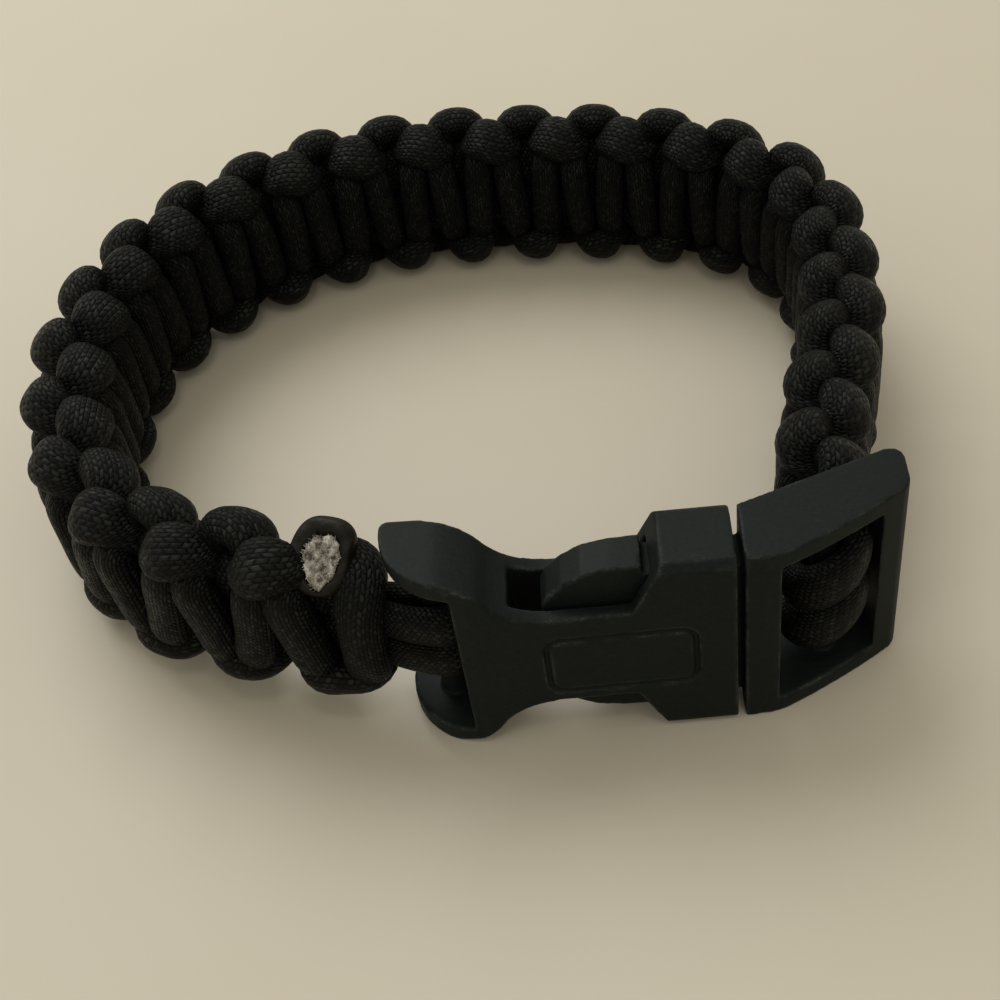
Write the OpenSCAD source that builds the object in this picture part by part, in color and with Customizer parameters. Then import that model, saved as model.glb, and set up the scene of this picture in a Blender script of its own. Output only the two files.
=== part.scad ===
// Paracord bracelet with a side-release buckle, fastened and standing on its edge.
// Millimetres. +Z is up, the loop's axis is vertical, and the buckle's outer face looks along -Y.
// The band's centre line is four quarter curves that run from the receptacle, clockwise seen
// from above, to the plug. Points given as u, v, w are the buckle's own: u along it to the
// right from the joint line, v into the loop from its outer face, and w up from the floor.

/* [Loop] */
// Width of the loop, between centre lines
loop_width = 77.8; // [68:0.1:90]
// Depth of the loop, from the buckle's outer face to the centre line at the back
loop_depth = 72.1; // [62:0.1:84]
// How far the buckle's joint line stands in from the right side of the loop
joint_inset = 13.9; // [12:0.05:20]
// Where the left side runs straight back, as a share of the depth
left_turn = 0.56; // [0.45:0.01:0.65]
// Where the right side runs straight back, as a share of the depth
right_turn = 0.66; // [0.5:0.01:0.75]
// Where the back runs straight across, as an offset from the loop's middle
back_turn = -0.9; // [-8:0.1:8]
// Fullness of the front left corner
front_left_full = 0.59; // [0.45:0.01:0.75]
// Fullness of the back left corner
back_left_full = 0.58; // [0.45:0.01:0.75]
// Fullness of the back right corner
back_right_full = 0.69; // [0.45:0.01:0.75]
// Fullness of the front right corner
front_right_full = 0.52; // [0.4:0.01:0.75]
// Angle by which the buckle is turned, its receptacle end to the front
buckle_turn = 2; // [0:0.5:5]
// Angle between the buckle and the band, at the receptacle
receptacle_lean = 13; // [0:1:20]
// Angle at which the band leans out from the plug's middle
plug_lean = 7; // [-8:1:12]

/* [Weave] */
// Height of the band as it stands on its edge
band_width = 19.2; // [16:0.1:20.5]
// Thickness of the band
band_thickness = 8.7; // [8:0.1:10.5]
// Length over which the band comes down from the buckle's middle to the floor
band_settle = 36; // [15:1:45]
// How far the band rides above the buckle's middle, at the receptacle
receptacle_rise = 1.5; // [0:0.1:2]
// Half knots along the band
half_knots = 49; // [41:2:57]
// How far before the band's start the knots are counted from
knot_lead = 2; // [0:0.1:3]
// Extra length in the first knots, which are tied looser
knot_slack = 3; // [0:0.1:4]
// Full knot at which that extra length is largest
slack_knot = 6.5; // [4:0.5:10]
// Depth of the notches between the edge loops
edge_notch = 2.1; // [1:0.1:2.6]
// Depth of the grooves between the crossing strands
rib_groove = 1.5; // [0.5:0.1:1.8]
// How far the crossing strands lean together at the edges, as a share of a full knot
strand_lean = 0.09; // [0:0.01:0.12]

/* [Strand loops] */
// Thickness of a flattened core strand
strand_thickness = 2.7; // [2.2:0.1:2.8]
// Width of the flattened strands at the receptacle
receptacle_strand_width = 4.3; // [3:0.1:5]
// Width of the flattened strands at the plug
plug_strand_width = 4.9; // [3.6:0.1:6]
// Gap kept between pieces
piece_gap = 0.15; // [0.1:0.01:0.2]
// Gap between the receptacle's tail and the band
tail_gap = 0.2; // [0.1:0.05:0.5]

/* [Cord end] */
// Width of the melted end, along the band
end_width = 5.1; // [4.6:0.1:5.8]
// Height of the melted end
end_height = 6.9; // [6:0.1:7.6]
// Thickness of the melted end
end_thickness = 1.9; // [1.5:0.1:2.4]
// Width of its dark rim
rim_width = 0.8; // [0.6:0.05:1.1]
// How far the rim stands above the white core
core_sink = 0.3; // [0.1:0.05:0.6]
// Where the melted end sits, from the start of the weave
end_place = 4; // [3.6:0.1:4.6]
// Angle by which it leans out from lying flat
end_tilt = 35; // [25:1:50]
// How far out its middle sits, as a share of half the band's thickness
end_out = 0; // [-0.1:0.01:0.4]
// How high its middle sits, as a share of half the band's width
end_up = 0.75; // [0.65:0.01:0.9]
// Thickness of the melted end's floor, under the white core
end_floor = 0.6; // [0.4:0.1:0.8]

/* [Buckle] */
// Width of the buckle, its height as it stands
buckle_width = 21.6; // [20:0.1:23]
// Thickness of the buckle
buckle_thickness = 7.1; // [6.8:0.1:9]
// Length of the receptacle
receptacle_length = 29.5; // [28.5:0.1:32]
// Length of its strap end, up to the side windows
strap_end = 10.2; // [9.8:0.1:11]
// How far the front plate's edge stands in from the strap end
lip_inset = 5.7; // [5:0.1:6.5]
// How far the strap bar stands in from the strap end
bar_inset = 3.9; // [3.4:0.1:4.2]
// Thickness of the front and rear plates
plate = 1.4; // [1.2:0.05:1.6]
// Thickness of the rails beside the strap slots
rail = 1.9; // [1.5:0.1:2.4]
// Half the height of the waist
waist = 5.5; // [5:0.1:6.5]
// Outer radius of the flare beside the strap slot
flare_radius = 5; // [4:0.1:5.5]
// How far the flare runs along the strap end before it turns
flare_run = 4; // [3.5:0.1:4.5]
// Inner radius of the flare, where it runs into the waist
fillet_radius = 6.5; // [5.5:0.1:7]
// Length of the full-height block at the mouth
block_length = 6.5; // [5.5:0.1:7.5]
// Length of the slope from the waist up to that block
block_slope = 2.6; // [2:0.1:3]
// Radius of the strap end's outer corner, seen from above
corner_radius = 6.8; // [4:0.1:6.8]
// How far the rails rise behind the strap slot
rear_rise = 0.9; // [0.8:0.1:1.4]
// Width of the bevel along the long edges
bevel = 0.7; // [0.3:0.1:1]
// Radius of both recessed strap bars
bar_radius = 1.3; // [1.1:0.05:1.4]
// Width of the moulded line on the front plate
line_width = 0.5; // [0.3:0.1:0.8]
// Depth of the moulded line
line_depth = 0.4; // [0.2:0.1:0.6]
// Width of the panel that the moulded line goes round
panel_width = 13.2; // [11:0.1:14]
// Height of that panel
panel_height = 7.4; // [6:0.1:9]
// Gap between the receptacle and the plug
joint_gap = 0.65; // [0.3:0.05:1]
// Width of the plug's bar beside the joint
plug_base = 3.1; // [2.6:0.1:4]
// Width of the bar at the plug's outer end
end_bar = 2.6; // [2:0.1:3]
// Radius of the bend near the joint
bend_radius = 7; // [5:0.5:8]
// Radius of the sweep from there to the outer end
sweep_radius = 75; // [60:1:120]
// Angle of the bend near the joint in the plug's outer face
plug_bend = 25; // [15:1:27]
// Angle of the plug's inner face
plug_slope = 20; // [15:1:25]
// Radius of the plug's inner corner at its outer end
end_radius = 1.2; // [1:0.1:2.4]
// Clearance of the plug's arms inside the receptacle
arm_gap = 0.35; // [0.2:0.05:0.5]
// How far the buttons stay below the block's top
button_drop = 1.3; // [0.8:0.1:2]
// Length of the buttons
button_length = 8.6; // [7.5:0.1:9]
// Height of the buttons
button_height = 6; // [5:0.1:6.2]
// Height of the arms that carry them
arm_height = 2.4; // [2:0.1:3]
// Height of the middle tongue
tongue_height = 2.2; // [1.8:0.1:3]
// Gap between a button and the block
button_gap = 1.5; // [1.4:0.1:2.2]

/* [Hidden] */
$fn = 48;
black_cord = [0.06, 0.06, 0.06];
black_plastic = [0.09, 0.09, 0.1];
white_core = [0.9, 0.88, 0.82];
half_thick = band_thickness / 2;
half_width = band_width / 2;
// How far the turned buckle's receptacle end comes forward, which keeps the part centred
swing = (receptacle_length - corner_radius) * sin(buckle_turn)
    + corner_radius * (1 - cos(buckle_turn));
front_y = -(loop_depth + half_thick - swing) / 2;
mid_w = buckle_width / 2;
joint_offset = loop_width / 2 - joint_inset;
// The strand's half turn round a bar: its middle, and its outside with a gap
turn_radius = bar_radius + piece_gap + strand_thickness / 2;
turn_reach = turn_radius + strand_thickness / 2 + piece_gap;

// Ends of the receptacle and of the plug's frame and slot, along u
tail = -receptacle_length;
mouth = -joint_gap / 2;
root = joint_gap / 2;
slot_clearance = 0.3;
slot_from = root + plug_base;
slot_to = slot_from + 2 * (turn_reach + slot_clearance);
plug_end = slot_to + end_bar;
// The plug's inner face, v at a place along u
function inner_face(u) = buckle_thickness - 0.6 + (u - root) * tan(plug_slope);

// The two strap bars, u and v
receptacle_bar = [tail + bar_inset, plate + turn_reach];
plug_bar = [(slot_from + slot_to) / 2, inner_face((slot_from + slot_to) / 2) - 2 * bar_radius];

// Where the band starts and ends, u and v, and which way it heads there
start_uv = [tail - tail_gap - half_thick * sin(receptacle_lean), receptacle_bar.y];
start_dir = [-cos(receptacle_lean), sin(receptacle_lean)];
end_dir = [-sin(plug_lean), -cos(plug_lean)];
end_uv = plug_bar - (turn_reach + tail_gap) * end_dir;

function turned(d) = [d.x * cos(buckle_turn) - d.y * sin(buckle_turn),
    d.x * sin(buckle_turn) + d.y * cos(buckle_turn)];
function to_part(uv) = [joint_offset, front_y] + turned(uv);

// Centre line of the band
left_point = [-loop_width / 2, front_y + left_turn * loop_depth];
back_point = [back_turn, front_y + loop_depth];
right_point = [loop_width / 2, front_y + right_turn * loop_depth];
function bezier(a, b, c, d, t) =
    pow(1 - t, 3) * a + 3 * pow(1 - t, 2) * t * b + 3 * (1 - t) * t * t * c + pow(t, 3) * d;
function quarter(from, from_dir, to, to_dir, full, steps) =
    let (near = full * abs((to - from) * from_dir), far = full * abs((to - from) * to_dir))
    [for (i = [0 : steps - 1])
        bezier(from, from + near * from_dir, to - far * to_dir, to, i / steps)];
step_count = 48;
centre_line = concat(
    quarter(to_part(start_uv), turned(start_dir), left_point, [0, 1], front_left_full, step_count),
    quarter(left_point, [0, 1], back_point, [1, 0], back_left_full, step_count),
    quarter(back_point, [1, 0], right_point, [0, -1], back_right_full, step_count),
    quarter(right_point, [0, -1], to_part(end_uv), turned(end_dir), front_right_full,
        step_count),
    [to_part(end_uv)]);
count = len(centre_line);
distance = [for (i = 0, run = 0; i < count;
    run = run + (i < count - 1 ? norm(centre_line[i + 1] - centre_line[i]) : 0), i = i + 1) run];
band_length = distance[count - 1];
x_table = [for (i = [0 : count - 1]) [distance[i], centre_line[i].x]];
y_table = [for (i = [0 : count - 1]) [distance[i], centre_line[i].y]];
function place(s) = [lookup(s, x_table), lookup(s, y_table)];
reach = band_length / 400;
function heading(s) = s < reach ? turned(start_dir)
    : s > band_length - reach ? turned(end_dir)
    : let (step = place(s + reach) - place(s - reach)) step / norm(step);
function outward(s) = [-heading(s).y, heading(s).x];

// The weave: x counts full knots from the start, side is 1 on the outer face and -1 inside.
// The last half knot at each end has nothing beyond it, so it keeps its form to the end
slice_count = 8;
knot_pitch = 2 * (band_length + knot_lead) / half_knots;
slack_spread = 0.75;
function knot_place(x) = x * knot_pitch - knot_lead
    + knot_slack * exp(-pow(ln((x + 1) / (slack_knot + 1)) / slack_spread, 2));
function knots_at(s, x, tries) = tries == 0 ? x
    : knots_at(s, x + (s - knot_place(x)) / knot_pitch, tries - 1);
first_x = knots_at(0, 0, 6);
last_x = knots_at(band_length, half_knots / 2, 6);
slices = concat([first_x],
    [for (k = [ceil(first_x * slice_count + 0.5) : floor(last_x * slice_count - 0.5)])
        k / slice_count],
    [last_x]);
function bump(x) = let (q = x - round(x)) sqrt(max(0, 1 - 4 * q * q));
function strand(x, k, lean) =
    let (q = 4 * (x - k / 2 - (k % 2 == 0 ? lean : -lean))) sqrt(max(0, 1 - q * q));
function rib(x, lean) = max(strand(x, floor(2 * x), lean), strand(x, floor(2 * x) + 1, lean));

// A quarter of the section: thickness share, width share, and the way it gives, thickness, width
section = [
    [0.96, 0.00, 1, 0],
    [0.96, 0.22, 1, 0],
    [0.96, 0.44, 1, 0],
    [1.00, 0.62, 1, 0],
    [0.90, 0.85, 0.75, 0.65],
    [0.52, 1.00, 0.1, 1],
    [0.00, 0.80, 0, 1]];
last = len(section) - 1;
first_bump = 3;
ring = concat(
    [for (i = [0 : last]) [i, 1, 1]],
    [for (i = [last - 1 : -1 : 0]) [i, -1, 1]],
    [for (i = [1 : last]) [i, -1, -1]],
    [for (i = [last - 1 : -1 : 1]) [i, 1, -1]]);
ring_count = len(ring);

// The weave is cut flat behind the melted end, and the cut faces as the end does
end_facing = [sin(end_tilt), cos(end_tilt)];
seat_depth = [end_out * half_thick, end_up * half_width] * end_facing - end_thickness - piece_gap;
seat_rise = 2.2;
seat_margin = 0.5;
function seat(s) = seat_depth + max(0, s - end_place - end_width / 2 - seat_margin) * seat_rise;
// Both ends of the weave are rounded off, by a share of the section over a short length
round_length = 3;
round_share = 0.28;
function end_round(s) = let (near = min(1, max(0, 1 - min(s, band_length - s) / round_length)))
    1 - round_share * (1 - sqrt(1 - near * near));
function skin(from_start, i, side, edge) =
    let (row = section[i], s = knot_place(from_start),
        x = min(max(from_start, 0.5), half_knots / 2 - 0.5),
        give = i < first_bump ? rib_groove * (1 - rib(x, side * edge * strand_lean * i / 2))
            : i < last ? edge_notch * (1 - bump(x - 0.5 + 0.25 * side * edge))
            : 0,
        t = side * (row[0] * half_thick - give * row[2]) * end_round(s),
        w = edge * (row[1] * half_width - give * row[3]) * end_round(s),
        over = max(0, [t, w] * end_facing - seat(s)))
    [t, w] - over * end_facing;
// Mid-height of the band: near the buckle's own beside it, and half the band's width on the floor
function settled(q) = q >= 1 ? 1 : q * q * (3 - 2 * q);
function mid_height(s) = let (from_plug = s > band_length / 2,
        beside = from_plug ? mid_w : mid_w + receptacle_rise,
        q = (from_plug ? band_length - s : s) / band_settle)
    beside - (beside - half_width) * settled(q);
function band_point(s, tw) = let (p = place(s) + tw[0] * outward(s))
    [p.x, p.y, mid_height(s) + tw[1]];

module woven_band() {
    rings = len(slices) - 1;
    points = concat(
        [for (x = slices, r = ring) band_point(knot_place(x), skin(x, r[0], r[1], r[2]))],
        [band_point(0, [0, 0]), band_point(band_length, [0, 0])]);
    n = ring_count;
    head = (rings + 1) * n;
    faces = concat(
        [for (k = [0 : rings - 1], j = [0 : n - 1]) let (a = k * n + j, b = k * n + (j + 1) % n)
            [a, a + n, b]],
        [for (k = [0 : rings - 1], j = [0 : n - 1]) let (a = k * n + j, b = k * n + (j + 1) % n)
            [b, a + n, b + n]],
        [for (j = [0 : n - 1]) [head, j, (j + 1) % n]],
        [for (j = [0 : n - 1]) [head + 1, rings * n + (j + 1) % n, rings * n + j]]);
    color(black_cord) polyhedron(points, faces);
}

// A flattened strand: two straight legs and a half turn round a bar. The legs run along +Y
module strand_section(width) {
    edge = (width - strand_thickness) / 2;
    for (side = [-1, 1]) translate([0, side * edge]) circle(d = strand_thickness);
    square([strand_thickness, 2 * edge], center = true);
}
module strand_loop(width, leg) {
    rotate([0, 0, 180]) rotate_extrude(angle = 180)
        translate([turn_radius, 0]) strand_section(width);
    for (side = [-1, 1]) translate([side * turn_radius, 0, 0])
        rotate([-90, 0, 0]) linear_extrude(leg) strand_section(width);
}
// Everything beyond one end of the band, from just short of its end face
module beyond(at, direction) {
    translate([at.x, at.y, 0]) rotate([0, 0, atan2(direction.y, direction.x)])
        translate([-piece_gap, -buckle_width, -buckle_width / 2])
            cube(2 * buckle_width);
}
module receptacle_loop(level) {
    height = mid_w + level * (receptacle_strand_width + piece_gap) / 2;
    color(black_cord) in_buckle() difference() {
        translate([receptacle_bar.x, receptacle_bar.y, height]) rotate([0, 0, 90])
            strand_loop(receptacle_strand_width, 2 * turn_reach);
        beyond(start_uv, start_dir);
    }
}
module plug_loop(level) {
    height = mid_w + level * (plug_strand_width + piece_gap) / 2;
    color(black_cord) in_buckle() difference() {
        translate([plug_bar.x, plug_bar.y, height])
            strand_loop(plug_strand_width, 2 * turn_reach);
        beyond(end_uv, -end_dir);
    }
}
module receptacle_loop_upper() { receptacle_loop(1); }
module receptacle_loop_lower() { receptacle_loop(-1); }
module plug_loop_upper() { plug_loop(1); }
module plug_loop_lower() { plug_loop(-1); }

// The melted end lies on the flat cut into the first knot
module at_cord_end() {
    corner = place(end_place) + end_out * half_thick * outward(end_place);
    translate([corner.x, corner.y, mid_height(end_place) + end_up * half_width])
        rotate([0, 0, atan2(outward(end_place).y, outward(end_place).x)])
            rotate([0, end_tilt, 0]) children();
}
module oval(width, height, thickness) {
    linear_extrude(thickness) scale([height / width, 1]) circle(d = width, $fn = 36);
}
module cord_end_rim() {
    color(black_cord) at_cord_end() translate([0, 0, -end_thickness]) difference() {
        oval(end_width, end_height, end_thickness);
        translate([0, 0, end_floor])
            oval(end_width - 2 * rim_width, end_height - 2 * rim_width, end_thickness);
    }
}
module cord_end_core() {
    rim = rim_width + piece_gap;
    under = end_floor + piece_gap;
    color(white_core) at_cord_end() translate([0, 0, under - end_thickness])
        oval(end_width - 2 * rim, end_height - 2 * rim, end_thickness - under - core_sink);
}

// Buckle outlines. An arc turns about its centre from one angle to another
function arc(centre, radius, from, to, parts) =
    [for (i = [0 : parts]) let (a = from + (to - from) * i / parts)
        centre + radius * [cos(a), sin(a)]];
// Upper half of the receptacle's face, u and height above the middle
flare_turn = acos(1 - (mid_w - waist) / (flare_radius + fillet_radius));
flare_start = tail + flare_run;
waist_start = flare_start + (flare_radius + fillet_radius) * sin(flare_turn);
upper_face = concat(
    [[tail, mid_w]],
    arc([flare_start, mid_w - flare_radius], flare_radius, 90, 90 - flare_turn, 8),
    arc([waist_start, waist + fillet_radius], fillet_radius, 270 - flare_turn, 270, 8),
    [[-block_length - block_slope, waist], [-block_length, mid_w], [mouth, mid_w]]);
face_outline = concat(
    [for (p = upper_face) [p.x, mid_w + p.y]],
    [for (i = [len(upper_face) - 1 : -1 : 0]) [upper_face[i].x, mid_w - upper_face[i].y]]);
// The receptacle from above, u and v
rear_round = 0.9;
plan_outline = concat(
    [[mouth, 0]],
    arc([tail + corner_radius, corner_radius], corner_radius, 270, 180, 8),
    arc([tail + rear_round, buckle_thickness + rear_rise + 0.1 - rear_round], rear_round, 180, 90, 4),
    [[tail + lip_inset - 2.7, buckle_thickness + rear_rise],
        [tail + lip_inset + 0.8, buckle_thickness + 0.2],
        [tail + lip_inset + 2.8, buckle_thickness], [mouth, buckle_thickness]]);
// A bevelled end view, v and w
end_outline = [[bevel, 0], [buckle_thickness - bevel, 0], [buckle_thickness, bevel],
    [buckle_thickness, buckle_width - bevel], [buckle_thickness - bevel, buckle_width],
    [bevel, buckle_width], [0, buckle_width - bevel], [0, bevel]];
cavity_end = tail + strap_end;
slot_end = receptacle_bar.x + turn_reach + 0.1;
lip_end = tail + lip_inset;
turn_height = receptacle_strand_width + piece_gap + 0.8;

module in_buckle() {
    translate([joint_offset, front_y, 0]) rotate([0, 0, buckle_turn]) children();
}
// Extrudes an outline in u and w through the thickness
module through(from, to) {
    translate([0, to, 0]) rotate([90, 0, 0]) linear_extrude(to - from) children();
}
module box(low, high) { translate(low) cube(high - low); }
module rounded(low, high, radius) {
    translate([low.x + radius, low.y]) square([high.x - low.x - 2 * radius, high.y - low.y]);
    translate([low.x, low.y + radius]) square([high.x - low.x, high.y - low.y - 2 * radius]);
    for (x = [low.x + radius, high.x - radius], y = [low.y + radius, high.y - radius])
        translate([x, y]) circle(radius, $fn = 24);
}
module receptacle_shell() {
    intersection() {
        through(-1, buckle_thickness + 3) polygon(face_outline);
        linear_extrude(buckle_width) polygon(plan_outline);
        union() {
            translate([tail - 1, 0, 0]) rotate([90, 0, 90]) linear_extrude(receptacle_length + 1)
                polygon(end_outline);
            box([tail - 1, buckle_thickness - bevel - 0.2, 0],
                [cavity_end - 1.2, buckle_thickness + 2, buckle_width]);
        }
    }
}
module buckle_receptacle() {
    line_high = [mouth - 3.3, mid_w - 0.7 + panel_height / 2];
    line_low = line_high - [panel_width, panel_height];
    inset = [line_width, line_width];
    color(black_plastic) in_buckle() {
        difference() {
            receptacle_shell();
            box([cavity_end, plate, rail + 0.1],
                [1, buckle_thickness - plate, buckle_width - rail - 0.1]);
            box([tail - 1, plate, rail],
                [lip_end + 0.6, buckle_thickness + 3, buckle_width - rail]);
            box([tail, plate, mid_w - turn_height], [slot_end, buckle_thickness + 3,
                mid_w + turn_height]);
            box([tail - 1, -1, rail], [lip_end, plate + 1, buckle_width - rail]);
            through(-1, line_depth) difference() {
                rounded(line_low, line_high, 1.6);
                rounded(line_low + inset, line_high - inset, 1.1);
            }
        }
        translate([receptacle_bar.x, receptacle_bar.y, rail - 0.4])
            cylinder(r = bar_radius, h = buckle_width - 2 * rail + 0.8);
    }
}

// The plug's frame from above, u and v: a tight bend and a long sweep outside, a rounded end
// and a straight inner face
bend_centre = [1.8, 0.35 + bend_radius];
bend_end = bend_centre + bend_radius * [sin(plug_bend), -cos(plug_bend)];
sweep_turn = asin(sin(plug_bend) + (plug_end - 0.65 - bend_end.x) / sweep_radius);
sweep_centre = bend_end + sweep_radius * [-sin(plug_bend), cos(plug_bend)];
sweep_end = sweep_centre + sweep_radius * [sin(sweep_turn), -cos(sweep_turn)];
plug_outline = concat(
    [[root, 0.3]],
    arc(bend_centre, bend_radius, 270, 270 + plug_bend, 6),
    arc(sweep_centre, sweep_radius, 270 + plug_bend, 270 + sweep_turn, 6),
    [[plug_end - 0.2, sweep_end.y + 0.6], [plug_end, sweep_end.y + 1.3]],
    arc([plug_end - end_radius, inner_face(plug_end - end_radius) - end_radius / cos(plug_slope)],
        end_radius, 0, 90 + plug_slope, 8),
    [[root, inner_face(root)]]);
button_end = -block_length - button_gap;
button_tip = button_end - button_length;
button_top = mid_w - button_drop;
// Upper button and arm, u and height above the middle
button_outline = concat(
    [[button_end, button_top - button_height], [button_end, button_top]],
    [[button_tip + 5.9, button_top - 0.1], [button_tip + 3.7, button_top - 0.6],
        [button_tip + 1.9, button_top - 1.6], [button_tip + 0.6, button_top - 2.9],
        [button_tip, button_top - 4.2]],
    [[button_tip, button_top - button_height + 1],
        [button_tip + 0.8, button_top - button_height]]);
arm_top = mid_w - rail - 0.1 - arm_gap;
module buckle_plug() {
    v_low = plate + arm_gap;
    v_high = buckle_thickness - plate - arm_gap;
    color(black_plastic) in_buckle() {
        difference() {
            linear_extrude(buckle_width) polygon(plug_outline);
            box([slot_from, -1, rail], [slot_to, plug_end, buckle_width - rail]);
        }
        translate([plug_bar.x, plug_bar.y, rail - 0.4])
            cylinder(r = bar_radius, h = buckle_width - 2 * rail + 0.8);
        box([-2.4, v_low, mid_w - arm_top], [root + 0.5, v_high, mid_w + arm_top]);
        box([button_tip + 2, v_low + 0.7, mid_w - tongue_height / 2],
            [-2, v_high - 0.7, mid_w + tongue_height / 2]);
        for (side = [-1, 1]) {
            through(v_low, v_high)
                polygon([for (p = button_outline) [p.x, mid_w + side * p.y]]);
            box([button_end - 0.7, v_low, mid_w + (side > 0 ? arm_top - arm_height : -arm_top)],
                [-2, v_high, mid_w + (side > 0 ? arm_top : arm_height - arm_top)]);
        }
    }
}

woven_band();
receptacle_loop_upper();
receptacle_loop_lower();
plug_loop_upper();
plug_loop_lower();
cord_end_rim();
cord_end_core();
buckle_receptacle();
buckle_plug();
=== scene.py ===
# %% [markdown]
# # A paracord bracelet, fastened and standing on its edge
# The real thing is a few metres of braided nylon cord. Core strands run between the two halves of
# a side-release buckle, and two working strands are knotted round them in the cobra weave. The
# packed solids fix every size and place. This lesson dresses them: the weave is wound strand by
# strand along its true path, and the buckle gets the soft edges of a moulded part.

# %% Load the frame
import math

import bpy
import numpy as np
from mathutils import Matrix, Vector, noise


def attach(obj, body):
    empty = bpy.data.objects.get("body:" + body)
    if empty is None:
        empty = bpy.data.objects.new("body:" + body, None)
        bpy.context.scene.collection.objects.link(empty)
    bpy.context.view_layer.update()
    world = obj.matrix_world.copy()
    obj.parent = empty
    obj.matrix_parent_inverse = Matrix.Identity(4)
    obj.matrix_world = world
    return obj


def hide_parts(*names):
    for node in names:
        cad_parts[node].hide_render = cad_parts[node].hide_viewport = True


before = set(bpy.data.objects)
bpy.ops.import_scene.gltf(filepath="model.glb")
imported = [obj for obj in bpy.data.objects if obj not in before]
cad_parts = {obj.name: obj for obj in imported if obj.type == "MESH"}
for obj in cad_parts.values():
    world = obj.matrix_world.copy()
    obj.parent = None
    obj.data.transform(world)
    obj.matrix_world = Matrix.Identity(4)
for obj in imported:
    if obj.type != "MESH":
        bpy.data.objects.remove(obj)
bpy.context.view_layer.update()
MM = 0.001                 # sizes are written in millimetres here, and Blender works in metres
print("solids:", sorted(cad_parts))

# %% [markdown]
# ## Camera
# The photograph looks down at about 45 degrees from in front of the buckle, held close, so the
# near side looks clearly larger than the far side. A close camera with a normal lens gives the
# same perspective. A small shift puts the bracelet in the same place in the picture, which a
# cropped photograph needs, and a few degrees of roll match its tilt.

# %% Camera
SENSOR_WIDTH = 36.0
LENS_FACTOR = 1.495        # focal length over sensor width
FRAME_SHIFT = (-0.152, -0.058)     # sideways and up, in picture widths
ROLL = math.radians(-3.7)


def add_object(name, data):
    """A new object in the scene."""
    obj = bpy.data.objects.new(name, data)
    bpy.context.scene.collection.objects.link(obj)
    return obj


camera_place = Vector((18.46, -115.64, 112.8)) * MM
looking = Vector((0.0, 0.7108, -0.7034)).normalized()
level_right = Vector((1.0, 0.0, 0.0))
level_up = level_right.cross(looking).normalized()
picture_right = math.cos(ROLL) * level_right + math.sin(ROLL) * level_up
picture_up = math.cos(ROLL) * level_up - math.sin(ROLL) * level_right

lens = bpy.data.cameras.new("photo_camera")
lens.sensor_width = SENSOR_WIDTH
lens.lens = LENS_FACTOR * SENSOR_WIDTH
lens.shift_x, lens.shift_y = FRAME_SHIFT
lens.clip_start = 5 * MM
camera = add_object("photo_camera", lens)
camera_turn = Matrix((picture_right, picture_up, -looking)).transposed()
camera.matrix_world = Matrix.Translation(camera_place) @ camera_turn.to_4x4()
bpy.context.scene.camera = camera
print("lens, mm:", round(lens.lens, 2))


# %% [markdown]
# ## Small helpers for node trees
# Every finish below is a node tree, and so are the swept strands and the cut fibres. Written out
# in full, each node takes several lines. A small class keeps them short: it adds a node with its
# settings, links its inputs, and does the sums that patterns are made of.

# %% Tree helper
class Tree:
    """Builds a node tree in short lines."""

    def __init__(self, tree):
        self.tree = tree

    def feed(self, socket, value):
        """Links an output to a socket, or sets the socket to a plain value."""
        if isinstance(value, bpy.types.NodeSocket):
            self.tree.links.new(value, socket)
        else:
            socket.default_value = value

    def add(self, kind, settings=None, **inputs):
        """Any node, with its settings, and its inputs by name."""
        node = self.tree.nodes.new(kind)
        for name, value in (settings or {}).items():
            setattr(node, name, value)
        for name, value in inputs.items():
            self.feed(node.inputs[name.replace("_", " ")], value)
        return node

    def math(self, operation, *values, clamp=False):
        """A sum with numbers."""
        node = self.add("ShaderNodeMath", {"operation": operation, "use_clamp": clamp})
        for socket, value in zip(node.inputs, values):
            self.feed(socket, value)
        return node.outputs[0]

    def vector(self, operation, *values):
        """A sum with vectors."""
        node = self.add("ShaderNodeVectorMath", {"operation": operation})
        scalar = operation == "SCALE"
        sockets = [node.inputs[0], node.inputs["Scale"]] if scalar else node.inputs
        for socket, value in zip(sockets, values):
            self.feed(socket, value)
        return node.outputs["Value" if operation == "DOT_PRODUCT" else "Vector"]

    def ramp(self, factor, stops):
        """A run of colours, from pairs of a place and a colour."""
        node = self.add("ShaderNodeValToRGB")
        marks = node.color_ramp.elements
        while len(marks) < len(stops):
            marks.new(0.5)
        for mark, (place, colour) in zip(marks, stops):
            mark.position = place
            mark.color = (*colour, 1.0)
        self.feed(node.inputs[0], factor)
        return node.outputs[0]

    def between(self, value, low, high, to_low=0.0, to_high=1.0):
        """A value that runs from to_low to to_high while another runs from low to high."""
        node = self.add("ShaderNodeMapRange")
        for socket, part in zip(node.inputs, (value, low, high, to_low, to_high)):
            self.feed(socket, part)
        return node.outputs[0]

    def here(self):
        """Where a point lies on the object, in metres."""
        return self.add("ShaderNodeTexCoord").outputs["Object"]

    def noise(self, where, scale, detail, roughness=0.5):
        """Cloudy noise from 0 to 1, with scale clouds to the metre."""
        node = self.add("ShaderNodeTexNoise", Vector=where, Scale=scale, Detail=detail,
                        Roughness=roughness)
        return node.outputs["Fac"]

    def mix(self, factor, first, second):
        """One colour going over into another."""
        node = self.add("ShaderNodeMix", {"data_type": "RGBA"}, Factor=factor)
        self.feed(node.inputs[6], first)           # this node has three sets of sockets: 6 and 7
        self.feed(node.inputs[7], second)          # are its colours, and output 2 is theirs
        return node.outputs[2]

    def bump(self, shader, height, strength, distance):
        """Lets a shader see a height as relief, distance high."""
        node = self.add("ShaderNodeBump", Strength=strength, Distance=distance, Height=height)
        self.feed(shader.inputs["Normal"], node.outputs["Normal"])


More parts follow.
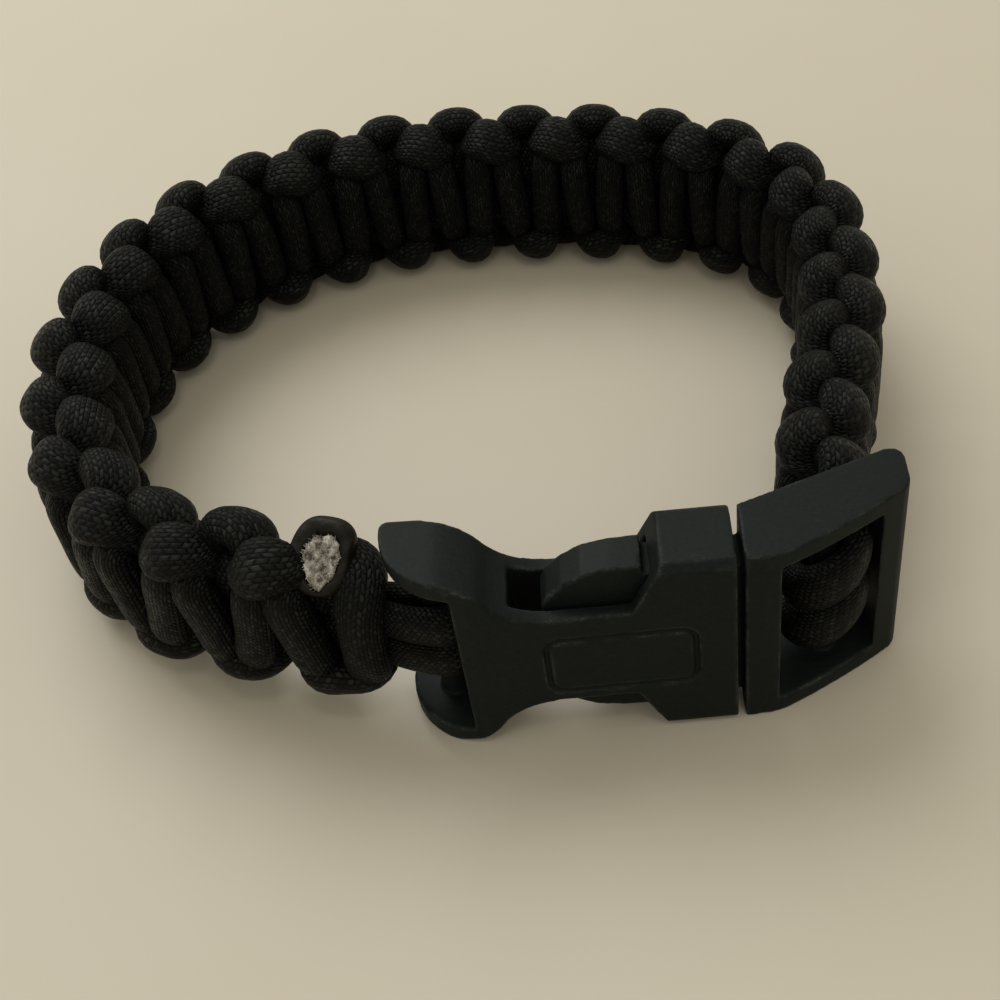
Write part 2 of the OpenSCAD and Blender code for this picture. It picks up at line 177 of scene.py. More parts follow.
print("sums and patterns:", [name for name in vars(Tree) if not name.startswith("_")])


# %% New groups and materials
def new_group(name, kind, inputs, outputs):
    """An empty node group with named sockets: (name, type, default) and (name, type)."""
    group = bpy.data.node_groups.new(name, kind)
    for label, socket_type, *default in inputs:
        socket = group.interface.new_socket(name=label, in_out="INPUT", socket_type=socket_type)
        if default:
            socket.default_value = default[0]
    for label, socket_type in outputs:
        group.interface.new_socket(name=label, in_out="OUTPUT", socket_type=socket_type)
    tree = Tree(group)
    return group, tree, tree.add("NodeGroupInput").outputs, tree.add("NodeGroupOutput").inputs


def new_material(name, **constants):
    """A material with one Principled BSDF, and constants on its own sockets."""
    material = bpy.data.materials.new(name)
    material.use_nodes = True
    shader = material.node_tree.nodes["Principled BSDF"]
    for label, value in constants.items():
        shader.inputs[label.replace("_", " ")].default_value = value
    return material, Tree(material.node_tree), shader


print("group and material helpers ready")

# %% [markdown]
# ## Braided sheath
# Paracord is a tube woven from about thirty thin yarns, so its surface is a herringbone: columns
# of short slanted stitches, each leaning the other way from its neighbours. The pattern could be
# real geometry, but it is a fifth of a millimetre high and there are metres of it. It is
# computed instead from where a point lies round the cord and along it, which the sweep below
# stores on every vertex, so the stitches follow each bend and never slide.

# %% Braided sheath group
SIDE_FALL, END_FALL = 2.2, 1.7     # how late a stitch falls away to its sides and its ends
UNEVEN = 0.5                       # how far stitches differ in height
sheath_group, t, given, result = new_group(
    "Braided sheath", "ShaderNodeTree",
    [("Columns", "NodeSocketFloat", 30.0), ("Stitch Length", "NodeSocketFloat", 0.5 * MM),
     ("Slant", "NodeSocketFloat", 0.3), ("Fuzz", "NodeSocketFloat", 0.45)],
    [("Height", "NodeSocketFloat"), ("Stitch", "NodeSocketFloat"), ("Tint", "NodeSocketFloat")])
place_on_cord = t.add("ShaderNodeAttribute", {"attribute_name": "sheath"}).outputs["Vector"]
parts = t.add("ShaderNodeSeparateXYZ", Vector=place_on_cord).outputs
angle = t.math("ARCTAN2", parts["Y"], parts["X"])
wide_sides = t.math("MULTIPLY", t.math("SINE", t.math("MULTIPLY", angle, 2.0)), 0.13)
angle = t.math("SUBTRACT", angle, wide_sides)      # as many stitches per mm on the wide sides
around = t.math("MULTIPLY", t.math("DIVIDE", angle, 2 * math.pi), given["Columns"])
column = t.math("FLOOR", around)
across = t.math("SUBTRACT", around, column)
lean = t.math("SUBTRACT", t.math("MULTIPLY", t.math("FLOORED_MODULO", column, 2.0), 2.0), 1.0)
along = t.math("ADD", t.math("DIVIDE", parts["Z"], given["Stitch Length"]),
               t.math("MULTIPLY", lean, 0.25))      # neighbours are half a stitch apart
shear = t.math("MULTIPLY", t.math("MULTIPLY", t.math("SUBTRACT", across, 0.5), lean),
               given["Slant"])
stitch_place = t.math("ADD", along, shear)
stitch_number = t.math("FLOOR", stitch_place)
within = t.math("SUBTRACT", stitch_place, stitch_number)


def rounded(share, power):
    """1 in the middle of a stitch and 0 at share 0 and share 1."""
    from_middle = t.math("ABSOLUTE", t.math("SUBTRACT", t.math("MULTIPLY", share, 2.0), 1.0))
    return t.math("SUBTRACT", 1.0, t.math("POWER", from_middle, power), clamp=True)


stitch = t.math("SQRT", t.math("MULTIPLY", rounded(across, SIDE_FALL), rounded(within, END_FALL)))
cell = t.add("ShaderNodeCombineXYZ", X=column, Y=stitch_number).outputs[0]
tint = t.add("ShaderNodeTexWhiteNoise", {"noise_dimensions": "2D"}, Vector=cell).outputs["Value"]
yarn = t.add("ShaderNodeCombineXYZ", X=t.math("MULTIPLY", around, 7.0),     # fine filaments that
             Y=t.math("MULTIPLY", stitch_place, 1.5)).outputs[0]            # run along a stitch
fuzz = t.math("MULTIPLY", t.math("SUBTRACT", t.noise(yarn, 1.0, 2.0), 0.5), given["Fuzz"])
height = t.math("ADD", t.math("ADD", stitch, fuzz), t.math("MULTIPLY", tint, UNEVEN))
for label, value in (("Height", height), ("Stitch", stitch), ("Tint", tint)):
    t.feed(result[label], value)
print("braided sheath: nodes", len(sheath_group.nodes))

# %% [markdown]
# ## Black cord
# Dyed nylon is nearly black but not evenly so: some stitches have caught more dye. One flat black
# would lose the weave. The tone is drawn from each stitch's own tint and a slow noise, and its
# brightest stitches stand for glints, so that end is painted highlight as well as dye. The gaps
# between stitches are painted dark as shade, and the top of each stitch is painted lighter as a
# highlight, both from the braid itself.

# %% Black cord
black_cord, m, shader = new_material("black_cord", Specular_IOR_Level=0.1)
braid = m.add("ShaderNodeGroup", {"node_tree": sheath_group}, Columns=30.0,
              Stitch_Length=0.5 * MM).outputs
slow_noise = m.noise(m.here(), 260.0, 4.0, 0.6)
yarn_tone = m.math("ADD", m.math("MULTIPLY", braid["Tint"], 0.55), m.math("MULTIPLY", slow_noise, 0.45))
# dye tone; its bright end is also painted glints on single stitches
tone_and_glints = m.ramp(yarn_tone, [(0.2, (0.0018, 0.0022, 0.0018)), (0.55, (0.0054, 0.0063, 0.005)),
                         (0.8, (0.019, 0.0208, 0.017))])
# painted shade in the gaps between stitches, painted highlight on each stitch's top
painted_stitch_light = m.between(braid["Stitch"], 0.4, 0.97)
m.feed(shader.inputs["Base Color"], m.mix(painted_stitch_light, (0.0007, 0.0009, 0.0007, 1.0), tone_and_glints))
m.feed(shader.inputs["Roughness"], m.between(yarn_tone, 0.25, 0.8, 0.55, 0.33))
m.bump(shader, braid["Height"], strength=0.9, distance=0.2 * MM)
print("material:", black_cord.name)

# %% [markdown]
# ## The band's centre line
# Seen from above the band is a closed, slightly lopsided oval, flat where the buckle is. It could
# be drawn by hand, but the solids already follow four quarter curves, so the same four curves are
# repeated here from the same measured values. Everything on the band is then placed by two
# numbers: how far along it, and how far out or up from its middle.

# %% Sizes repeated from the solids, in mm
LOOP_WIDTH, LOOP_DEPTH, JOINT_INSET = 77.8, 72.1, 13.9
LEFT_TURN, RIGHT_TURN = 0.56, 0.66       # where the sides run straight back, of the depth
BACK_TURN = -0.9                         # where the back runs straight across
FULLNESS = (0.59, 0.58, 0.69, 0.52)      # of the corners, clockwise from the front left
BAND_WIDTH, BAND_THICKNESS = 19.2, 8.7
BAND_SETTLE, RECEPTACLE_RISE = 36.0, 1.5
HALF_KNOTS, KNOT_LEAD = 49, 2.0
KNOT_SLACK, SLACK_KNOT, SLACK_SPREAD = 3.0, 6.5, 0.75
BUCKLE_WIDTH, BUCKLE_THICKNESS, RECEPTACLE_LENGTH = 21.6, 7.1, 29.5
BUCKLE_TURN, RECEPTACLE_LEAN, PLUG_LEAN = math.radians(2), math.radians(13), math.radians(7)
CORNER, PLATE, BAR_INSET, BAR_RADIUS = 6.8, 1.4, 3.9, 1.3
PLUG_ROOT, PLUG_BASE, SLOT_CLEARANCE = 0.325, 3.1, 0.3
PLUG_STEP, PLUG_SLOPE = 0.6, math.radians(20)
STRAND_THICKNESS, PIECE_GAP, TAIL_GAP = 2.7, 0.15, 0.2

TURN_RADIUS = BAR_RADIUS + PIECE_GAP + STRAND_THICKNESS / 2
TURN_REACH = TURN_RADIUS + STRAND_THICKNESS / 2 + PIECE_GAP
JOINT_X = LOOP_WIDTH / 2 - JOINT_INSET
SWING = (RECEPTACLE_LENGTH - CORNER) * math.sin(BUCKLE_TURN) + CORNER * (1 - math.cos(BUCKLE_TURN))
FRONT_Y = -(LOOP_DEPTH + BAND_THICKNESS / 2 - SWING) / 2
print("joint line at x, y, mm:", JOINT_X, round(FRONT_Y, 2))


# %% Where the band leaves the buckle
def in_part(d):
    """A direction in the buckle's u and v, as the part's x and y."""
    c, s = math.cos(BUCKLE_TURN), math.sin(BUCKLE_TURN)
    return np.array([d[0] * c - d[1] * s, d[0] * s + d[1] * c])


def to_part(uv):
    """From the buckle's own u and v to the part's x and y, in mm."""
    return in_part(uv) + np.array([JOINT_X, FRONT_Y])


slot_from = PLUG_ROOT + PLUG_BASE
slot_to = slot_from + 2 * (TURN_REACH + SLOT_CLEARANCE)
plug_bar_u = (slot_from + slot_to) / 2   # this bar lies just inside the plug's sloping side
plug_bar = np.array([plug_bar_u, BUCKLE_THICKNESS - PLUG_STEP
                     + (plug_bar_u - PLUG_ROOT) * math.tan(PLUG_SLOPE) - 2 * BAR_RADIUS])
receptacle_bar = np.array([-RECEPTACLE_LENGTH + BAR_INSET, PLATE + TURN_REACH])

start_uv_dir = np.array([-math.cos(RECEPTACLE_LEAN), math.sin(RECEPTACLE_LEAN)])
end_uv_dir = np.array([-math.sin(PLUG_LEAN), -math.cos(PLUG_LEAN)])
start_uv = np.array([
    -RECEPTACLE_LENGTH - TAIL_GAP - BAND_THICKNESS / 2 * math.sin(RECEPTACLE_LEAN),
    receptacle_bar[1]])
start, end = to_part(start_uv), to_part(plug_bar - (TURN_REACH + TAIL_GAP) * end_uv_dir)
start_dir, end_dir = in_part(start_uv_dir), in_part(end_uv_dir)
print("band from x, y, mm:", np.round(start, 2), "to", np.round(end, 2))


# %% Centre line
CURVE_POINTS = 200


def quarter(a, a_dir, b, b_dir, full):
    """One quarter curve from a to b, leaving along a_dir and arriving along b_dir."""
    near = full * abs(np.dot(b - a, a_dir))
    far = full * abs(np.dot(b - a, b_dir))
    t = np.linspace(0, 1, CURVE_POINTS, endpoint=False)[:, None]
    p1, p2 = a + near * a_dir, b - far * b_dir
    return (1 - t) ** 3 * a + 3 * (1 - t) ** 2 * t * p1 + 3 * (1 - t) * t * t * p2 + t ** 3 * b


turns = [(start, start_dir),
         (np.array([-LOOP_WIDTH / 2, FRONT_Y + LEFT_TURN * LOOP_DEPTH]), np.array([0.0, 1.0])),
         (np.array([BACK_TURN, FRONT_Y + LOOP_DEPTH]), np.array([1.0, 0.0])),
         (np.array([LOOP_WIDTH / 2, FRONT_Y + RIGHT_TURN * LOOP_DEPTH]), np.array([0.0, -1.0])),
         (end, end_dir)]
centre_line = np.concatenate(
    [quarter(*a, *b, full) for a, b, full in zip(turns, turns[1:], FULLNESS)] + [[end]])
distance = np.concatenate([[0], np.cumsum(np.linalg.norm(np.diff(centre_line, axis=0), axis=1))])
BAND_LENGTH = distance[-1]
PITCH = 2 * (BAND_LENGTH + KNOT_LEAD) / HALF_KNOTS
print("band length, mm:", round(BAND_LENGTH, 2), " full knot, mm:", round(PITCH, 3))


# %% Places on the band
def knot_place(x):
    """Where a knot lies along the band. The first ones were tied looser and stand further on."""
    share = np.exp(-(np.log((x + 1) / (SLACK_KNOT + 1)) / SLACK_SPREAD) ** 2)
    return x * PITCH - KNOT_LEAD + KNOT_SLACK * share


def on_line(s):
    """The centre line's x, y at distances s, run on straight past both ends."""
    s = np.asarray(s, float)
    inner = np.clip(s, 0, BAND_LENGTH)
    xy = np.stack([np.interp(inner, distance, centre_line[:, i]) for i in (0, 1)], -1)
    return xy + (s - inner)[:, None] * np.where((s < 0)[:, None], start_dir, end_dir)


def band_axes(s):
    """Unit vectors along the band and out of it, at distances s."""
    step = on_line(s + 0.4) - on_line(s - 0.4)
    step /= np.linalg.norm(step, axis=1)[:, None]
    return step, np.stack([-step[:, 1], step[:, 0]], -1)


def mid_height(s):
    """The band's mid-height: near the buckle's own beside it, and lower where it lies down."""
    q = np.clip(np.minimum(s, BAND_LENGTH - s) / BAND_SETTLE, 0, 1)
    beside = BUCKLE_WIDTH / 2 + RECEPTACLE_RISE * (np.asarray(s) < BAND_LENGTH / 2)
    return beside - (beside - BAND_WIDTH / 2) * q * q * (3 - 2 * q)


def to_world(points):
    """Band points (s, out, up from mid-height), in mm, to the part's own x, y, z in mm."""
    points = np.asarray(points, float)
    _, outward = band_axes(points[:, 0])
    xy = on_line(points[:, 0]) + points[:, 1:2] * outward
    return np.column_stack([xy, points[:, 2] + mid_height(points[:, 0])])


def turn_to_world(vectors, s):
    """Directions given along, out and up at distances s, as the part's directions."""
    along, outward = band_axes(s)
    xy = vectors[:, 0:1] * along + vectors[:, 1:2] * outward
    return np.column_stack([xy, vectors[:, 2]])


print("first knots at, mm:", [round(float(knot_place(x)), 1) for x in range(5)])

# %% [markdown]
# ## The path of a working strand
# In the cobra weave one working strand always crosses the band's outer face and the other its
# inner face. At each edge a strand dives under the other one, lies along the edge as a short
# bulging loop on the far face, dives again and crosses back. The path could be drawn knot by
# knot, but it is one rule repeated, so eight stations describe a half knot and a loop of code
# writes all of them. Small seeded offsets keep the knots from looking stamped.

# %% Stations of a half knot
rng = np.random.default_rng(7)
LOOP_REACH = 0.30          # half the length of an edge loop between its dives, in full knots
BAR_LEAN = 0.09            # how far an outer bar leans at either edge, in full knots
OUTER_BAR, INNER_BAR = 3.9, 3.3          # widths of the bars on the two faces
BAR_THICK, LOOP_THICK = 3.4, 3.6


def pull(x):
    """1 where the knots are pulled tight on the outer face, at the front, and -1 at the back."""
    return math.cos(math.pi * min(x, 18.0) / 13.0)


def half_knot(k, face, way):
    """Stations of bar k on a face (1 outer, -1 inner), going up (way 1) or down, and its loop.

    Each is x in full knots, out and up in mm, the surface direction, width and thickness."""
    x, e, f = k / 2, -way, face
    middle = x + 0.25
    low_outer_loop = f < 0 and way < 0
    bar = OUTER_BAR if f > 0 else INNER_BAR
    lean = BAR_LEAN if f > 0 else 0.4 * BAR_LEAN
    half = 0.16 + 0.045 * f * pull(x) - 0.01 * pull(x) + (0.06 if low_outer_loop else 0.0)
    # the first low outer loop rides up, and at the back the low inner ones hang inwards
    lift = math.exp(-((x - 1.6) / 0.9) ** 2) if low_outer_loop else 0.0
    sag = 0.6 * max(0.0, -pull(x)) if f > 0 and way < 0 else 0.0
    swell = 1 + 0.04 * rng.standard_normal(2)
    shove = rng.normal(0, 0.13, 4)
    tuck = 0.25 - LOOP_REACH
    return [
        (x - tuck, 0.3 * f, 4.6 * e, (0, 0.6 * f, 0.8 * e), 3.0, BAR_THICK),
        (x + lean, 2.35 * f, 4.2 * e, (0, 0.96 * f, 0.28 * e), 0.96 * bar, BAR_THICK),
        (x + shove[0] / 14, 2.6 * f, shove[0], (0, f, 0), bar * swell[0], BAR_THICK),
        (x - lean, 2.35 * f, 4.2 * way, (0, 0.96 * f, 0.28 * way), 0.96 * bar, BAR_THICK),
        (x + tuck, 0.3 * f, 4.6 * way, (0, 0.6 * f, 0.8 * way), 3.0, BAR_THICK),
        (middle - half, -1.5 * f, 7.15 * way + lift, (-0.45, -0.5 * f, 0.74 * way), 4.9,
         LOOP_THICK),
        (middle + shove[1] / 14, (-1.9 + 0.6 * shove[2]) * f - sag,
         (7.35 + 0.6 * shove[3]) * way + lift, (0, -0.7 * f, 0.71 * way), 5.3 * swell[1],
         LOOP_THICK),
        (middle + half, -2.0 * f - sag, 6.8 * way + lift, (0.45, -0.65 * f, 0.62 * way), 5.0,
         LOOP_THICK)]


print("one half knot has", len(half_knot(2, 1, 1)), "stations")


# %% Rows through the stations
def catmull_rom(keys, per_span=14):
    """A smooth run of rows through the key rows."""
    keys = np.asarray(keys, float)
    k = np.concatenate([[2 * keys[0] - keys[1]], keys, [2 * keys[-1] - keys[-2]]])
    t = np.linspace(0, 1, per_span, endpoint=False)[:, None, None]
    p0, p1, p2, p3 = k[:-3], k[1:-2], k[2:-1], k[3:]
    rows = 0.5 * (2 * p1 + (p2 - p0) * t + (2 * p0 - 5 * p1 + 4 * p2 - p3) * t ** 2
                  + (3 * p1 - p0 - 3 * p2 + p3) * t ** 3)
    return np.concatenate([rows.transpose(1, 0, 2).reshape(-1, keys.shape[1]), keys[-1:]])


def flat_rows(stations):
    """Stations as rows of eight numbers, with x turned from full knots to mm."""
    return np.array([[knot_place(x), out, up, *facing, width, thick]
                     for x, out, up, facing, width, thick in stations])


def softened(rows):
    """Rows with their sharpest turns eased, the first and last kept."""
    for _ in range(3):
        rows[1:-1] = (rows[:-2] + 2 * rows[1:-1] + rows[2:]) / 4
    return rows


def even_rows(rows, spacing):
    """The rows again at even spacing along the path, and the distance run at each."""
    run = np.concatenate([[0], np.cumsum(np.linalg.norm(np.diff(rows[:, :3], axis=0), axis=1))])
    target = np.linspace(0, run[-1], max(4, int(round(run[-1] / spacing)) + 1))
    return np.stack([np.interp(target, run, rows[:, i]) for i in range(rows.shape[1])], -1), target


FIRST_BAR = 2              # the bars before it belong to each strand's own start


def working_strand(face, before, after):
    """The whole path of one working strand, with its own first and last stations."""
    stations = list(before)
    for k in range(FIRST_BAR, HALF_KNOTS):
        stations += half_knot(k, face, face if k % 2 else -face)
    return catmull_rom(flat_rows(stations[:-1] + after))


print("bars that follow the rule on each face:", HALF_KNOTS - FIRST_BAR)


# %% [markdown]
# ## Sweeping a strand
# A round profile swept along a curve would do for a loose cord. Here the strands press on each
# other, so they are wide and flat on the faces and narrow where they dive. The tree below sweeps
# a ring along the path and then sets every vertex from the width, thickness and facing stored at
# each station. It also stores where each vertex is on the cord, for the braid.

# %% Sweep tree
SQUARENESS = 0.84          # 1 would be a plain ellipse
sweep_group, t, given, result = new_group(
    "Strand sweep", "GeometryNodeTree",
    [("Path", "NodeSocketGeometry"), ("Sides", "NodeSocketInt", 32),
     ("Finish", "NodeSocketMaterial")],
    [("Strand", "NodeSocketGeometry")])


def stored(name, kind="FLOAT"):
    """Reads a value stored on the path."""
    node = t.add("GeometryNodeInputNamedAttribute", {"data_type": kind}, Name=name)
    return node.outputs["Attribute"]


def store(geometry, name, value, kind="FLOAT_VECTOR"):
    """Stores a value on the vertices."""
    node = t.add("GeometryNodeStoreNamedAttribute", {"data_type": kind, "domain": "POINT"},
                 Geometry=geometry, Name=name)
    t.feed(node.inputs["Value"], value)
    return node.outputs[0]


def fuller(value):
    """A circle's sine or cosine, pushed out towards a square with round corners."""
    size = t.math("POWER", t.math("ABSOLUTE", value), SQUARENESS)
    return t.math("MULTIPLY", size, t.math("SIGN", value))


spine = t.add("GeometryNodeMeshToCurve", Mesh=given["Path"]).outputs[0]
spine = store(spine, "centre", t.add("GeometryNodeInputPosition").outputs[0])
ring = t.add("GeometryNodeCurvePrimitiveCircle", {"mode": "RADIUS"},
             Resolution=given["Sides"], Radius=MM).outputs[0]
step_angle = t.math("DIVIDE", 2 * math.pi, given["Sides"])
turned = t.math("MULTIPLY", t.add("GeometryNodeInputIndex").outputs[0], step_angle)
ring = store(ring, "turned", turned, "FLOAT")
tube = t.add("GeometryNodeCurveToMesh", Curve=spine, Profile_Curve=ring, Fill_Caps=True).outputs[0]
cosine = t.math("COSINE", stored("turned"))
sine = t.math("SINE", stored("turned"))
sideways = t.vector("SCALE", stored("side", "FLOAT_VECTOR"),
                    t.math("MULTIPLY", fuller(cosine), stored("width")))
outwards = t.vector("SCALE", stored("facing", "FLOAT_VECTOR"),
                    t.math("MULTIPLY", fuller(sine), stored("thick")))
place_now = t.vector("ADD", stored("centre", "FLOAT_VECTOR"),
                     t.vector("ADD", sideways, outwards))
tube = t.add("GeometryNodeSetPosition", Geometry=tube, Position=place_now).outputs[0]
sheath = t.add("ShaderNodeCombineXYZ", X=cosine, Y=sine, Z=stored("run")).outputs[0]
tube = store(tube, "sheath", sheath)
for name in ("centre", "side", "facing", "width", "thick", "run", "turned"):
    tube = t.add("GeometryNodeRemoveAttribute", Geometry=tube, Name=name).outputs[0]
for kind in ("GeometryNodeSetShadeSmooth", "GeometryNodeRealizeInstances"):
    tube = t.add(kind, Geometry=tube).outputs[0]
tube = t.add("GeometryNodeSetMaterial", Geometry=tube, Material=given["Finish"]).outputs[0]
t.feed(result["Strand"], tube)
print("sweep tree: nodes", len(sweep_group.nodes))


# %% Mesh helpers
def rows_of(items, label, width=3, kind=float):
    """One value of every item of a mesh, as rows of numbers."""
    values = np.empty(len(items) * width, dtype=kind)
    items.foreach_get(label, values)
    return values.reshape(-1, width)


def signed_volume(mesh):
    """Positive when the faces of a closed mesh point outwards."""
    mesh.calc_loop_triangles()
    points = rows_of(mesh.vertices, "co")
    tris = rows_of(mesh.loop_triangles, "vertices", kind=int)
    a, b, c = (points[tris[:, i]] for i in range(3))
    return float(np.einsum("ij,ij->i", a, np.cross(b, c)).sum() / 6)


def apply_modifiers(obj):
    """Makes what obj's modifiers give its own plain mesh, and removes them."""
    bpy.context.view_layer.update()
    depsgraph = bpy.context.evaluated_depsgraph_get()
    plain = bpy.data.meshes.new_from_object(obj.evaluated_get(depsgraph))
    obj.modifiers.clear()
    obj.data = plain
    plain.name = obj.name


def run_tree(obj, tree, **settings):
    """Applies a geometry tree to obj once, with its inputs set by name."""
    modifier = obj.modifiers.new(tree.name, "NODES")
    modifier.node_group = tree
    for item in tree.interface.items_tree:
        if item.item_type == "SOCKET" and item.in_out == "INPUT" and item.name in settings:
            modifier[item.identifier] = settings[item.name]
    apply_modifiers(obj)


def dress(obj, node):
    """Ties a finished piece to the frame, in the place of a packed solid."""
    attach(obj, "root")
    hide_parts(node)


print("volume of the packed band, mm3:",
      round(signed_volume(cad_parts["woven_band"].data) / MM ** 3))


# %% Sweep helper
def unit(v):
    """Vectors of length 1."""
    return v / np.linalg.norm(v, axis=1)[:, None]


def sweep(name, centres, facing, widths, thicks, run, sides):
    """A closed black strand along centres, in mm, as one object."""
    tangent = np.gradient(centres, axis=0)
    side = unit(np.cross(tangent, facing))
    facing = unit(np.cross(side, tangent))
    mesh = bpy.data.meshes.new(name)
    links = [(i, i + 1) for i in range(len(centres) - 1)]
    mesh.from_pydata((centres * MM).tolist(), links, [])
    for label, values in (("side", side), ("facing", facing)):
        mesh.attributes.new(label, "FLOAT_VECTOR", "POINT").data.foreach_set(
            "vector", values.astype(np.float32).ravel())
    for label, values in (("width", widths / 2 * MM), ("thick", thicks / 2 * MM),
                          ("run", run * MM)):
        mesh.attributes.new(label, "FLOAT", "POINT").data.foreach_set(
            "value", values.astype(np.float32))
    obj = add_object(name, mesh)
    run_tree(obj, sweep_group, Sides=sides, Finish=black_cord)
    if signed_volume(obj.data) < 0:
        obj.data.flip_normals()
    print(f"{name}: {len(obj.data.polygons)} faces, {signed_volume(obj.data) / MM ** 3:.0f} mm3, "
          f"{run[-1] - run[0]:.0f} mm of cord")
    return obj


def sweep_rows(name, rows, spacing=0.5, sides=32):
    """Sweeps band rows: s, out, up, facing, width, thickness."""
    even, run = even_rows(rows, spacing)
    even = softened(even)
    return sweep(name, to_world(even[:, :3]), turn_to_world(even[:, 3:6], even[:, 0]),
                 even[:, 6], even[:, 7], run, sides)


def sweep_points(name, rows):
    """Sweeps rows given in the part's own frame: x, y, z, facing, width, thickness."""
    even, run = even_rows(rows, 0.4)
    return sweep(name, even[:, :3], even[:, 3:6], even[:, 6], even[:, 7], run, 32)


print("sweep helpers ready")

# %% [markdown]
# ## Winding the two working strands
# Both strands start and stop inside the band, where the real ones are tucked in and melted. Only
# their first turns differ from the rule: the first outer loop is held down by the melted tail,
# and the inner strand's first turn comes round the lower edge, as in the photograph.


# %% Wind the two working strands
def hidden(x, out, up, size):
    """A station inside the band, where a strand's end doesn't show."""
    return (x, out, up, (0, 0.5, 0.86), size, size)


LAST_X = HALF_KNOTS / 2
FIRST_LOOP_LOWER = 3.2     # the melted tail holds the first loop down
first_loop = [(x, out, up - FIRST_LOOP_LOWER, *rest)
              for x, out, up, *rest in half_knot(1, 1, 1)[4:]]
outer_rows = working_strand(
    1, [hidden(0.55, 0.6, 3.0, 1.2), hidden(0.5, 0.6, 3.6, 3.0)] + first_loop,
    [hidden(LAST_X - 0.02, 1.0, -5.2, 3.0), hidden(LAST_X - 0.04, 0.6, -4.0, 1.0)])

first_bar = half_knot(1, -1, -1)
first_turn = [(0.40, -0.3, -4.8, (0, -0.6, -0.8), 3.0, 3.4),
              (0.35, 0.8, -5.9, (-0.7, 0.4, -0.6), 4.4, 3.4),
              (0.47, 1.6, -6.4, (-0.25, 0.6, -0.77), 5.0, 3.5),
              (0.65, 1.9, -6.3, (0, 0.7, -0.71), 5.2, 3.5)]
inner_rows = working_strand(
    -1, [hidden(0.62, 0.4, 3.4, 1.2), hidden(0.6, 0.3, 4.4, 3.0)]
    + first_bar[:4] + first_turn + first_bar[7:],
    [hidden(LAST_X - 0.02, 1.0, 5.2, 3.0), hidden(LAST_X - 0.04, 0.6, 4.0, 1.0)])

for name, rows in (("outer_strand", outer_rows), ("inner_strand", inner_rows)):
    dress(sweep_rows(name, rows), "woven_band")

# %% [markdown]
# ## The cord's melted tail
# The weave was finished at the receptacle. The last working strand comes up the outer face as a
# loose fat bar, bends over the top edge and stops there, where its end was cut and melted. It is
# swept as the others are, through stations read from the photograph.

# %% Melted tail
END_PLACE, END_UP = 4.15, 0.78 * BAND_WIDTH / 2          # where the melted end sits
tail_rows = np.array([      # s, out, up, facing, width, thickness
    [END_PLACE + 0.6, -1.9, END_UP - 4.3, 0.0, 0.57, 0.82, 2.6, 2.4],
    [END_PLACE - 0.6, -2.0, END_UP - 3.4, 0.0, 0.57, 0.82, 4.2, 3.0],
    [END_PLACE - 1.8, -1.6, END_UP - 2.6, -0.1, 0.57, 0.82, 4.6, 3.2],
    [1.05, -0.5, END_UP - 2.4, -0.3, 0.6, 0.8, 4.6, 3.4],
    [0.75, 0.9, END_UP - 2.9, -0.2, 0.75, 0.66, 4.5, 3.5],
    [0.8, 2.2, 2.4, 0.0, 0.97, 0.25, 4.1, 3.5],
    [0.9, 2.6, -0.8, 0.0, 1.0, 0.0, 4.0, 3.4],
    [1.05, 2.45, -3.2, 0.0, 0.95, -0.3, 4.0, 3.4],
    [1.4, 1.5, -5.4, 0.0, 0.6, -0.8, 3.8, 3.2],
    [2.0, -0.2, -4.9, 0.0, 0.5, -0.86, 2.6, 2.6]])
dress(sweep_rows("melted_tail", catmull_rom(tail_rows)), "woven_band")

# %% [markdown]
# ## Core strands
# The core is what the knots are tied round. It shows only as a dark cord in the gaps between the
# bars, so two flattened strands, one above the other, stand for the bundle.

# %% Core strands
CORE_UP, CORE_WIDTH, CORE_THICK = 3.0, 6.1, 2.8
for name, up in (("core_strand_upper", CORE_UP), ("core_strand_lower", -CORE_UP)):
    along = np.arange(0.6, BAND_LENGTH - 0.4, 2.5)
    sway = rng.normal(0, 0.08, (len(along), 2))
    rows = np.array([[s, out, up + shift, 0.0, 1.0, 0.0, CORE_WIDTH, CORE_THICK]
                     for s, (out, shift) in zip(along, sway)])
    strand = sweep_rows(name, catmull_rom(rows, 6), spacing=0.8, sides=24)
    dress(strand, "woven_band")

# %% [markdown]
# ## Strand loops
# At each end of the band two strands come out side by side, turn round the buckle's bar and go
# back in. They are pulled tight, so they are flat where they press on the bar and on each other.
# At the plug the turns have slipped a little, so each runs downhill to the left.

# %% Strand loops
BUCKLE_MIDDLE = BUCKLE_WIDTH / 2
LEG_THICK, TURN_THICK = 2.2, 2.6


def bar_loop(bar, band_s, towards, level, width, tilt, low, high):
    """Rows of a loop: out of the band, round the bar from angle low to high, and back in."""
    rows = []
    for side, places in ((1, (1.1, 0.35, -0.25)), (-1, (-0.25, 0.35, 1.1))):
        leg = np.array([(band_s + towards * place * 5.0,
                         side * (0.95 + 0.9 * max(0.0, 0.35 - place)),
                         level + BUCKLE_MIDDLE - mid_height(band_s)) for place in places])
        facing = turn_to_world(np.array([[0.0, side, 0.0]] * len(leg)), leg[:, 0])
        rows += [(*p, *f, width * 0.97, LEG_THICK) for p, f in zip(to_world(leg), facing)]
        if side == 1:
            for angle in np.radians(np.linspace(low, high, 9)):
                direction = in_part(np.array([math.cos(angle), math.sin(angle)]))
                centre = to_part(bar) + TURN_RADIUS * direction
                fall = tilt * math.cos(angle - math.radians((low + high) / 2) + math.pi / 2)
                rows.append((*centre, BUCKLE_MIDDLE + level + fall, *direction, 0.0, width,
                             TURN_THICK))
    return np.array(rows)


